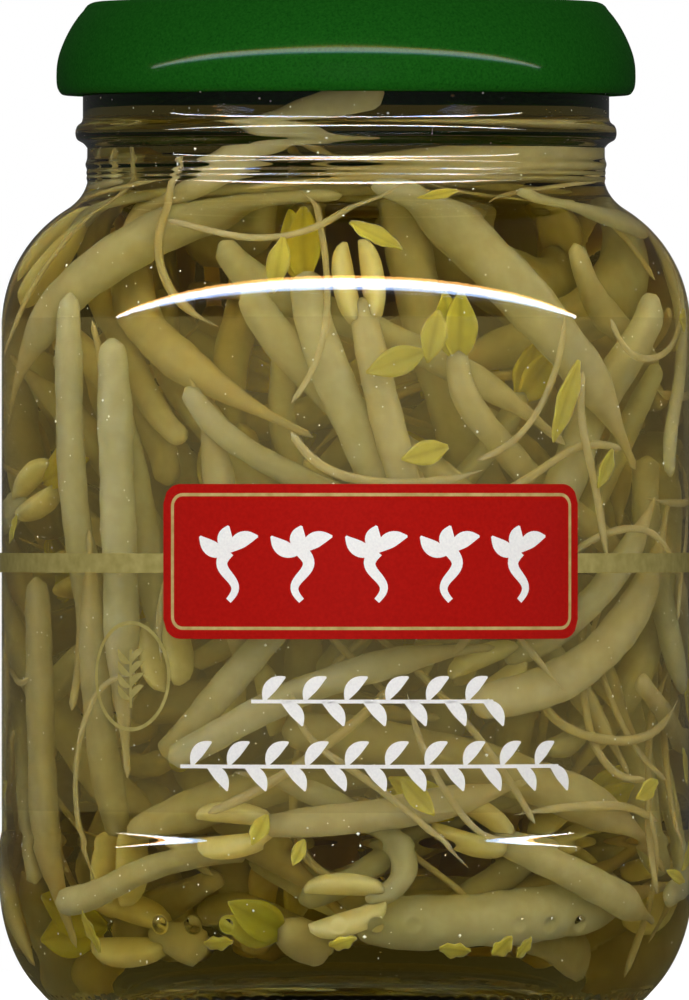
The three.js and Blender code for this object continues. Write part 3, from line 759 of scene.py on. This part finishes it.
def walk(sprout, depths):
    count = floor(sprout["length"] / STEP + 0.5)
    leaf, beans = HEAD_LENGTHS[sprout["head"]]
    neck = floor((leaf + beans) / STEP + 0.5)
    azimuth, z, heading = sprout["azimuth"], sprout["z"], sprout["heading"]
    gap, lowest, highest = (1.0, 6.8, 101) if "taper" in sprout else (1.6, 8.2, 107)
    rows = []
    for i in range(count + 1):
        girth = girth_at(sprout, i * STEP)
        if z < lowest + girth or z > highest - girth:
            break
        dip = sprout["dip"] * (i / count) ** 2
        radius = max(4, room_radius(z, girth, gap) - depths[i] - dip)
        rows.append([azimuth, z, girth, radius])
        azimuth += STEP * cos(heading) / radius
        z += STEP * sin(heading)
        heading += sprout["bend"] / count + (sprout["hook"] / 5 if neck <= i < neck + 5 else 0)
    if not rows:
        return np.zeros((0, 3)), np.zeros(0)
    radii = [row[3] for row in rows]
    for _ in range(12):
        for i in range(1, len(radii) - 1):
            middle = (radii[i - 1] + radii[i + 1]) / 2
            if middle < radii[i]:
                radii[i] = middle
    a = np.array(rows)
    r = np.array(radii)
    return np.stack([r * np.sin(a[:, 0]), -r * np.cos(a[:, 0]), a[:, 1]], axis=1), a[:, 2]


class Crowd:
    """The space that the placed sprouts take."""

    def __init__(self):
        self.points = np.zeros((0, 3))
        self.girths = np.zeros(0)
        self.sprouts = []

    def touching(self, points, girths, gap):
        if not len(self.points):
            return np.zeros(len(points), dtype=bool)
        low = points.min(axis=0) - 7
        high = points.max(axis=0) + 7
        near = ((self.points > low) & (self.points < high)).all(axis=1)
        others = self.points[near]
        if not len(others):
            return np.zeros(len(points), dtype=bool)
        squares = (points ** 2).sum(axis=1)[:, None] + (others ** 2).sum(axis=1)[None]
        apart = squares - 2 * points @ others.T
        reach = girths[:, None] + self.girths[near][None] + gap
        return (apart < reach * reach).any(axis=1)

    def settle(self, sprout, deepest=21, gap=0.35, least=0.7, push=0.5, rounds=80):
        count = floor(sprout["length"] / STEP + 0.5) + 1
        depths = np.zeros(count)
        index = np.arange(count)
        for _ in range(rounds):
            points, girths = walk(sprout, depths)
            if len(points) * STEP < least * sprout["length"]:
                return None
            touched = self.touching(points, girths, gap)
            if not touched.any():
                return points, girths
            before = depths.copy()
            for i in np.flatnonzero(touched):
                depths = np.maximum(depths, before[i] + push - 0.5 * np.abs(index - i))
            if depths.max() > deepest:
                return None
        return None

    def add(self, sprout, **options):
        settled = self.settle(sprout, **options)
        if settled is None:
            return False
        points, girths = settled
        self.points = np.vstack([self.points, points])
        self.girths = np.concatenate([self.girths, girths])
        self.sprouts.append({**sprout, "points": points})
        return True


def draw(random, start=75, span=210):
    return {
        "azimuth": radians(start + span * next(random)),
        "z": 14 + 90 * next(random),
        "heading": radians(360 * next(random)),
        "length": 38 + 16 * next(random),
        "bend": radians(90 * (next(random) - 0.5)),
        "hook": radians(150 * (next(random) - 0.5)),
        "girth": 1.7 + 0.9 * next(random),
        "dip": 5 * next(random),
        "head": HEADS[floor(len(HEADS) * next(random))],
    }


def front_row(row):
    x, z, heading, length, bend, girth, head, *hook = row
    return {
        "azimuth": asin(x / SIGHT_RADIUS) + VIEW_TURN,
        "z": z,
        "heading": radians(heading),
        "length": length,
        "bend": radians(bend),
        "hook": radians(sum(hook)),
        "girth": girth,
        "dip": 2,
        "head": head,
    }


def place_sprouts():
    crowd = Crowd()
    for row in FRONT_SPROUTS:
        crowd.add(front_row(row))
    random = numbers(20)
    own = len(FRONT_SPROUTS) + OTHER_SPROUTS
    while len(crowd.sprouts) < own:
        crowd.add(draw(random))
    for sprout in crowd.sprouts:
        sprout.update(taper=0.66, thinning=0.8)
    crowd.girths = np.array(
        [girth_at(sprout, i * STEP) for sprout in crowd.sprouts for i in range(len(sprout["points"]))]
    )
    easy = {"least": 0.5, "push": 1.5, "rounds": 20, "gap": -0.15, "deepest": 29}
    for row in MORE_FRONT_SPROUTS:
        crowd.add({**front_row(row), "taper": 0.7}, **easy)
    more = numbers(77)
    for i in range(900):
        if len(crowd.sprouts) < own + MORE_SPROUTS:
            sprout = draw(more, 0, 360) if i % 3 else draw(more, -60, 110)
            small = 0.55 + 0.35 * next(more)
            height = (8.6 + 6 * next(more)) if i % 4 == 0 else 0.93 * sprout["z"]
            if i % 4 == 0:
                sprout["heading"] = radians(-20 + 40 * next(more))
            sprout.update(length=small * sprout["length"], girth=0.8 * sprout["girth"], taper=0.7, z=height)
            if next(more) < 0.4:
                sprout["thinning"] = 0.15
            crowd.add(sprout, **easy)
    for _ in range(LOOSE_ROOTS):
        root = draw(more, 0, 360)
        root.update(head="bare", girth=0.35 + 0.25 * next(more), bend=2 * root["bend"])
        root.update(length=0.6 * root["length"], taper=0.8, root=True)
        crowd.add(root, **easy)
    return crowd, own


def frames_along(points):
    along = unit_rows(np.gradient(points, axis=0))
    wall = unit_rows(points * [1, 1, 0])
    across = unit_rows(np.cross(along, wall))
    return along, across, np.cross(across, along)


def stem_shape(sprout, path, distance, rng):
    """The stem and root of a sprout, from inside its head to the root's tip."""
    leaf, beans = HEAD_LENGTHS[sprout["head"]]
    start = leaf + beans - (2.2 if beans else 0.6 if leaf else 0)
    keep = distance >= start
    p = path[keep]
    s = distance[keep]
    along, across, out = frames_along(p)
    girth = np.array([min(sprout["girth"], girth_at(sprout, max(value, leaf + beans))) for value in s])
    left = s - s[0]
    rest = s[-1] - s
    blunt = sprout["girth"] * 0.9
    girth *= np.sqrt(np.clip(1 - (1 - np.clip(left / blunt, 0, 1)) ** 2.4, 0.05, 1))
    girth *= np.sqrt(np.clip(1 - (1 - np.clip(rest / 1.0, 0, 1)) ** 2, 0.05, 1))
    phase = rng.uniform(0, 6.28, 6)
    girth = girth * (1 + 0.035 * np.sin(0.55 * s + phase[0]) + 0.02 * np.sin(1.7 * s + phase[1]))
    sides = 14
    a = np.arange(sides) * 2 * pi / sides
    ridge = 1 + 0.025 * np.cos(3 * a + phase[2]) + 0.02 * np.cos(5 * a + phase[3])
    flat = 1 - 0.1 * np.abs(np.sin(phase[4]))
    ring = girth[:, None] * ridge[None]
    rings = p[:, None] + out[:, None] * (ring * np.cos(a) * flat)[:, :, None]
    rings = rings + across[:, None] * (ring * np.sin(a))[:, :, None]
    points = np.vstack([rings.reshape(-1, 3), p[:1] - along[:1] * 0.05, p[-1:] + along[-1:] * 0.1])
    faces = tube_faces(len(p), sides)
    t = np.clip((s - leaf - beans) / (sprout["length"] - leaf - beans), 0, 1)
    pale = np.array(sprout["pale"])
    root = np.array([0.60, 0.49, 0.25])
    mix = np.full((len(t), 1), 1.0) if "root" in sprout else smoothstep(t, 0.6, 1.0)[:, None]
    mix *= min(1, sprout.get("thinning", 0.72) + 0.2)
    colour = pale * (1 - mix) + root * mix
    tint = np.repeat(colour, sides, axis=0)
    return points, faces, np.vstack([tint, colour[:1], colour[-1:]])


def bean_half(centre, along, across, out, side, spread, length, colour, rng):
    """One half of the bean, round outside and flat inside, opened by spread."""
    rows, sides = 13, 18
    u = np.linspace(0, pi, rows + 2)[1:-1]
    v = np.arange(sides) * 2 * pi / sides
    body = np.sin(u) ** 0.75
    x = -np.cos(u) * length / 2
    thick = 0.5 + 0.5 * np.cos(v)
    y = side * (0.12 + 2.5 * body[:, None] * thick[None] ** 0.75)
    z = 2.3 * body[:, None] * np.sin(v)[None]
    y = y + side * 0.12 * (x[:, None] / length) ** 2 * 4
    z = z * (1 - 0.05 * np.exp(-((v[None] - pi) / 0.5) ** 2))
    local = np.stack([np.repeat(x[:, None], sides, axis=1), y, z], axis=2).reshape(-1, 3)
    ends = [[-length / 2, side * 0.5, 0], [length / 2, side * 0.5, 0]]
    local = np.vstack([local, ends])
    hinge = np.array([length / 2, 0, 0])
    turn = side * spread
    c, s = cos(turn), sin(turn)
    local = (local - hinge) @ np.array([[c, s, 0], [-s, c, 0], [0, 0, 1]]).T + hinge
    local *= 1 + rng.normal(0, 0.006, (len(local), 1))
    points = centre + local[:, :1] * along + local[:, 1:2] * across + local[:, 2:] * out
    shade = 0.9 + 0.1 * np.abs(np.sin(3 * local[:, :1]))
    return points, outward(points, tube_faces(rows, sides)), np.array(colour) * shade


def leaf_blade(foot, along, across, out, length, width, turn, lift, colour, rng):
    """A thin pointed leaf with a fold along its midrib, from its foot back past the head."""
    rows, columns = 11, 7
    t = np.linspace(0, 1, rows)
    half = width * np.sin(pi * np.clip(t, 0.03, 0.985)) ** 0.8 * (1 - 0.25 * t)
    u = np.linspace(-1, 1, columns)
    x = -t[:, None] * length + 0 * u
    y = half[:, None] * u[None]
    wave = 0.16 * np.sin(5 * t[:, None] * 3.1 + rng.uniform(0, 6)) * np.abs(u[None]) ** 2
    z = lift * np.sin(pi * t)[:, None] * 0.8 + 0.45 * np.abs(u[None]) * half[:, None] * 0.6 + wave
    c, s = cos(turn), sin(turn)
    x, y = c * x - s * y, s * x + c * y
    grid = foot + x[..., None] * along + y[..., None] * across + z[..., None] * out
    thin = 0.12
    top = (grid + thin * out).reshape(-1, 3)
    low = (grid - thin * out).reshape(-1, 3)
    count = rows * columns
    faces = []
    for i in range(rows - 1):
        for j in range(columns - 1):
            a = i * columns + j
            faces.append((a, a + 1, a + 1 + columns, a + columns))
            faces.append((count + a, count + a + columns, count + a + 1 + columns, count + a + 1))
    edge = list(range(columns))
    edge += [i * columns + columns - 1 for i in range(1, rows)]
    edge += [(rows - 1) * columns + j for j in range(columns - 2, -1, -1)]
    edge += [i * columns for i in range(rows - 2, 0, -1)]
    for a, b in zip(edge, edge[1:] + edge[:1]):
        faces.append((a, count + a, count + b, b))
    points = np.vstack([top, low])
    rib = 1 - 0.18 * (np.abs(np.tile(u, rows)) < 0.1)
    shade = np.concatenate([rib, rib])[:, None]
    return points, outward(points, faces), np.array(colour) * shade


def sprout_shape(sprout, rng):
    leaf, beans = HEAD_LENGTHS[sprout["head"]]
    rough = sprout["points"].copy()
    for _ in range(3):
        rough[1:-1] = rough[1:-1] / 2 + (rough[:-2] + rough[2:]) / 4
    path = smooth_curve(rough, 0.8)
    distance = np.concatenate([[0], np.cumsum(np.linalg.norm(np.diff(path, axis=0), axis=1))])
    distance *= (len(sprout["points"]) - 1) * STEP / distance[-1]
    along, across, out = frames_along(path)
    shapes = [stem_shape(sprout, path, distance, rng)]

    def at(s):
        i = int(np.argmin(np.abs(distance - s)))
        return path[i], along[i], across[i], out[i]

    if beans:
        spread = rng.uniform(0.03, 0.16)
        place = at(leaf + beans / 2)
        for side in (1, -1):
            shapes.append(bean_half(*place, side, spread, beans * 1.15, sprout["bean"], rng))
    if leaf:
        place = at(leaf + (1.2 if beans else 0.8))
        for k, side in enumerate((1, -1)):
            turn = side * rng.uniform(0.05, 0.22)
            reach = leaf + 1.8 if beans else leaf + 1.4
            shapes.append(leaf_blade(*place, reach, 2.2, turn, 0.5 - 0.9 * k, sprout["leaf"], rng))
    return join(shapes)


def add_living(name, points, faces, tint, stands_for=()):
    add_piece(name, points, faces, [sprout_skin], slot="sprout", stands_for=stands_for, tint=tint)


# Colours of a sprout's parts, between a paler and a warmer one.
TINTS = {
    "pale": ((0.61, 0.60, 0.42), (0.56, 0.50, 0.28)),
    "bean": ((0.93, 0.86, 0.48), (0.90, 0.78, 0.36)),
    "leaf": ((0.88, 0.70, 0.03), (0.66, 0.60, 0.05)),
}


def make_sprouts():
    crowd, own = place_sprouts()
    rng = np.random.default_rng(5)
    batch = []
    for i, sprout in enumerate(crowd.sprouts):
        warm = rng.uniform(0, 1)
        light = rng.uniform(0.86, 1.08)
        for part, (paler, warmer) in TINTS.items():
            sprout[part] = light * (np.array(paler) * (1 - warm) + np.array(warmer) * warm)
        shape = sprout_shape(sprout, rng)
        if i < own:
            node_name = f"sprout_{i + 1:02d}"
            add_living(f"fine_{node_name}", *shape, [node_name])
        else:
            batch.append(shape)
    for start in range(0, len(batch), BATCH):
        add_living(f"more_sprouts_{start // BATCH + 1}", *join(batch[start : start + BATCH]))


make_sprouts()


# Loose leaves against the glass, as seen from the front: x, z, heading, length, half width.
LOOSE_LEAVES = [
    (-7.5, 87.5, 268, 7.5, 1.5), (0.5, 89.0, 330, 7.0, 1.4),
    (10.0, 80.0, 255, 6.0, 1.7), (8.5, 75.5, 195, 7.0, 1.9),
    (25.0, 74.5, 250, 10.0, 1.6), (28.5, 64.5, 235, 5.0, 1.2),
    (11.0, 64.8, 200, 5.5, 1.6), (16.5, 93.0, 200, 5.0, 1.0),
    (6.0, 27.5, 310, 5.5, 1.4), (-8.5, 23.5, 240, 4.0, 1.2),
    (-4.5, 20.5, 250, 3.0, 0.9), (-16.5, 9.6, 10, 3.6, 0.9),
    (-2.0, 9.4, 20, 3.2, 0.9), (11.0, 9.2, 350, 3.6, 1.0),
    (17.5, 8.6, 60, 3.0, 1.3), (20.5, 8.4, 80, 3.0, 0.8),
    (-28.5, 9.0, 85, 5.5, 0.8), (33.0, 27.0, 200, 5.5, 1.3),
]


def wall_frame(azimuth, z, heading, depth):
    """A point near the inner wall, with directions along the heading, across it and outwards."""
    radius = room_radius(z, 0, 0) - depth
    out = np.array([sin(azimuth), -cos(azimuth), 0])
    level = np.array([cos(azimuth), sin(azimuth), 0])
    slope = room_radius(z + 0.5, 0, 0) - room_radius(z - 0.5, 0, 0)
    lean = np.array([0, 0, 1.0]) + out * slope
    lean /= np.linalg.norm(lean)
    outward = np.cross(level, lean)
    along = cos(heading) * level + sin(heading) * lean
    return out * radius + [0, 0, z], along, np.cross(outward, along), outward


def make_loose_leaves():
    rng = np.random.default_rng(11)
    shapes = []
    rows = [(asin(x / SIGHT_RADIUS) + VIEW_TURN, *row) for x, *row in LOOSE_LEAVES]
    for _ in range(46):
        azimuth = radians(rng.uniform(80, 280)) + VIEW_TURN
        place = (azimuth, rng.uniform(10, 92), rng.uniform(0, 360))
        rows.append((*place, rng.uniform(3, 8), rng.uniform(0.8, 1.6)))
    for azimuth, z, heading, length, width in rows:
        foot, along, across, out = wall_frame(azimuth, z, radians(heading), 0.6)
        colour = np.array([0.84, 0.70, 0.07]) * rng.uniform(0.7, 1.05)
        lift = -(length / 2) ** 2 / (2 * 36)
        turn = rng.uniform(-0.1, 0.1)
        shapes.append(leaf_blade(foot, -along, across, out, length, width, turn, lift, colour, rng))
    add_living("loose_leaves", *join(shapes))


def make_specks():
    """Fine white specks in the brine near the glass: painted glints of small bubbles, drawn as matte white
    crumbs.
    """
    rng = np.random.default_rng(12)
    corners = np.array([[1, 0, 0], [-1, 0, 0], [0, 1, 0], [0, -1, 0], [0, 0, 1], [0, 0, -1]], dtype=float)
    sides = [(0, 2, 4), (2, 1, 4), (1, 3, 4), (3, 0, 4), (2, 0, 5), (1, 2, 5), (3, 1, 5), (0, 3, 5)]
    parts = []
    for _ in range(1500):
        z = rng.uniform(8, 106)
        azimuth = rng.uniform(0, 2 * pi)
        centre, along, across, out = wall_frame(azimuth, z, 0, rng.uniform(0.15, 0.7))
        size = rng.uniform(0.07, 0.13) if rng.uniform() < 0.9 else rng.uniform(0.13, 0.24)
        shape = corners * size * rng.uniform(0.6, 1.3, (6, 1))
        points = centre + shape[:, :1] * along + shape[:, 1:2] * across + shape[:, 2:] * out
        parts.append((points, outward(points, sides)))
    add_piece("specks", *join(parts), [painted_glint_white], slot="sprout")


make_loose_leaves()
make_specks()


# Floor, light and camera.

FLOOR_RADIUS = 0.3
FLOOR_DROP = 0.0002  # keeps the floor just under the jar's foot
VIEW_HEIGHT = 0.1136  # how much the picture shows from top to bottom, in metres
VIEW_MIDDLE = 0.0588
VIEW_SHIFT = -0.00017
CAMERA_DISTANCE = 3.0

def make_floor():
    """Pale to the camera, and darker to the light that the jar gets from below."""
    angles = np.linspace(0, 2 * pi, 97)[:-1]
    points = [(FLOOR_RADIUS * cos(a), FLOOR_RADIUS * sin(a), -FLOOR_DROP) for a in angles]
    mesh = bpy.data.meshes.new("floor")
    mesh.from_pydata(points, [], [tuple(range(96))])
    material, tree, shader = new_material("floor_pale")
    paper = ramp(tree, noise(tree, 30, 3), [(0.3, (0.88, 0.88, 0.88)), (0.7, (0.91, 0.91, 0.91))])
    tree.links.new(paper, shader.inputs["Base Color"])
    set_inputs(shader, {"Roughness": 0.8, "Emission Color": (1, 1, 1, 1), "Emission Strength": 0.5})
    dim = node(tree, "ShaderNodeBsdfDiffuse")
    set_inputs(dim, {"Color": (0.10, 0.09, 0.05, 1)})
    choose(tree, "Material Output", "Is Camera Ray", dim, shader)
    mesh.materials.append(material)
    put("floor", mesh)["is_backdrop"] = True


def add_lamp(name, direction, distance, width, height, power, colour=(1, 1, 1), target=(0, 0, 0.06)):
    data = bpy.data.lights.new(name, "AREA")
    data.shape = "RECTANGLE"
    data.size = width
    data.size_y = height
    data.energy = power
    data.color = colour
    lamp = put(name, data)
    way = Vector(direction).normalized()
    lamp.location = Vector(target) + way * distance
    lamp.rotation_euler = (-way).to_track_quat("-Z", "Y").to_euler()
    return lamp


def from_view(right, toward, up):
    """A direction given as seen by the camera: right, toward the camera, and up."""
    c, s = cos(VIEW_TURN), sin(VIEW_TURN)
    x, y = right, -toward
    return (c * x - s * y, s * x + c * y, up)


def make_world():
    """White to the camera. To the jar it is bright on the camera's side and dark behind."""
    world = bpy.data.worlds.new("studio")
    bpy.context.scene.world = world
    world.use_nodes = True
    tree = world.node_tree
    background = tree.nodes["Background"]
    place = node(tree, "ShaderNodeTexCoord")
    facing = node(tree, "ShaderNodeVectorMath", operation="DOT_PRODUCT")
    facing.inputs[1].default_value = from_view(0, 1, 0)
    tree.links.new(place.outputs["Generated"], facing.inputs[0])
    spread = node(tree, "ShaderNodeMapRange")
    spread.inputs["From Min"].default_value = -1
    tree.links.new(facing.outputs["Value"], spread.inputs["Value"])
    stops = [(at, (level,) * 3) for at, level in ((0, 0.055), (1, 0.12), (0.5, 0.065))]
    glow = ramp(tree, spread.outputs["Result"], stops)
    tree.links.new(glow, background.inputs["Color"])
    pale = node(tree, "ShaderNodeBackground")
    set_inputs(pale, {"Color": (1, 1, 1, 1), "Strength": 1})
    choose(tree, "World Output", "Is Camera Ray", background, pale)


def make_camera():
    data = bpy.data.cameras.new("camera")
    data.sensor_fit = "VERTICAL"
    data.sensor_height = 24
    data.lens = data.sensor_height * CAMERA_DISTANCE / VIEW_HEIGHT
    data.clip_start = 0.1
    data.clip_end = 50
    camera = put("camera", data)
    right = Vector(from_view(1, 0, 0))
    toward = Vector(from_view(0, 1, 0))
    camera.location = toward * CAMERA_DISTANCE + right * VIEW_SHIFT + Vector((0, 0, VIEW_MIDDLE))
    camera.rotation_euler = (radians(90), 0, VIEW_TURN)
    bpy.context.scene.camera = camera


make_floor()
make_world()
# Long thin lamps above the camera draw the bright lines on shoulder, neck and lid.
for name, lift, width, power, colour in (
    ("line_white", 34.0, 0.150, 220, (1, 1, 1)),
    ("line_warm", 38.8, 0.050, 55, (1, 0.5, 0.14)),
    ("line_cool", 29.2, 0.050, 55, (0.35, 0.55, 1)),
):
    a = radians(lift)
    way = from_view(0, cos(a), sin(a))
    lamp = add_lamp(name, way, 1.2, 17.0, width, power, colour, (0, 0, 0.083))
    lamp.visible_diffuse = False

# Soft lamps light the jar evenly without showing in its glass.
for name, way, size, power in (
    ("front", (0.0, 1.0, 0.3), 1.2, 9),
    ("left", (-1.0, 0.2, 0.4), 1.0, 3),
    ("right", (1.0, 0.2, 0.4), 1.0, 3),
    ("back", (0.0, -1.0, 0.9), 1.2, 16),
    ("low", (0.0, 1.0, 0.0), 0.7, 11),
):
    aim = (0, 0, 0.012) if name == "low" else (0, 0, 0.06)
    lamp = add_lamp(name, from_view(*way), 1.5, size, size, power, (1, 0.98, 0.94), aim)
    lamp.visible_glossy = False
    lamp.visible_transmission = False

# A soft pool of light on the jar's foot, where the brine and the heel hold the most shade.
data = bpy.data.lights.new("foot", "SPOT")
data.energy = 40
data.spot_size = radians(4.6)
data.spot_blend = 1
data.shadow_soft_size = 0.12
foot = put("foot", data)
foot.location = Vector(from_view(0, 1.5, 0.006))
foot.rotation_euler = (radians(90), 0, VIEW_TURN)
foot.visible_glossy = False
foot.visible_transmission = False
make_camera()

scene = bpy.context.scene
scene.view_settings.view_transform = "Standard"
scene.cycles.max_bounces = 14
scene.cycles.transmission_bounces = 10
scene.cycles.transparent_max_bounces = 16
scene.cycles.diffuse_bounces = 2
scene.cycles.glossy_bounces = 4

boxes = {"cad": cad_bounds, "visual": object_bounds()}
{name: [list(map(float, corner)) for corner in box] for name, box in boxes.items()}
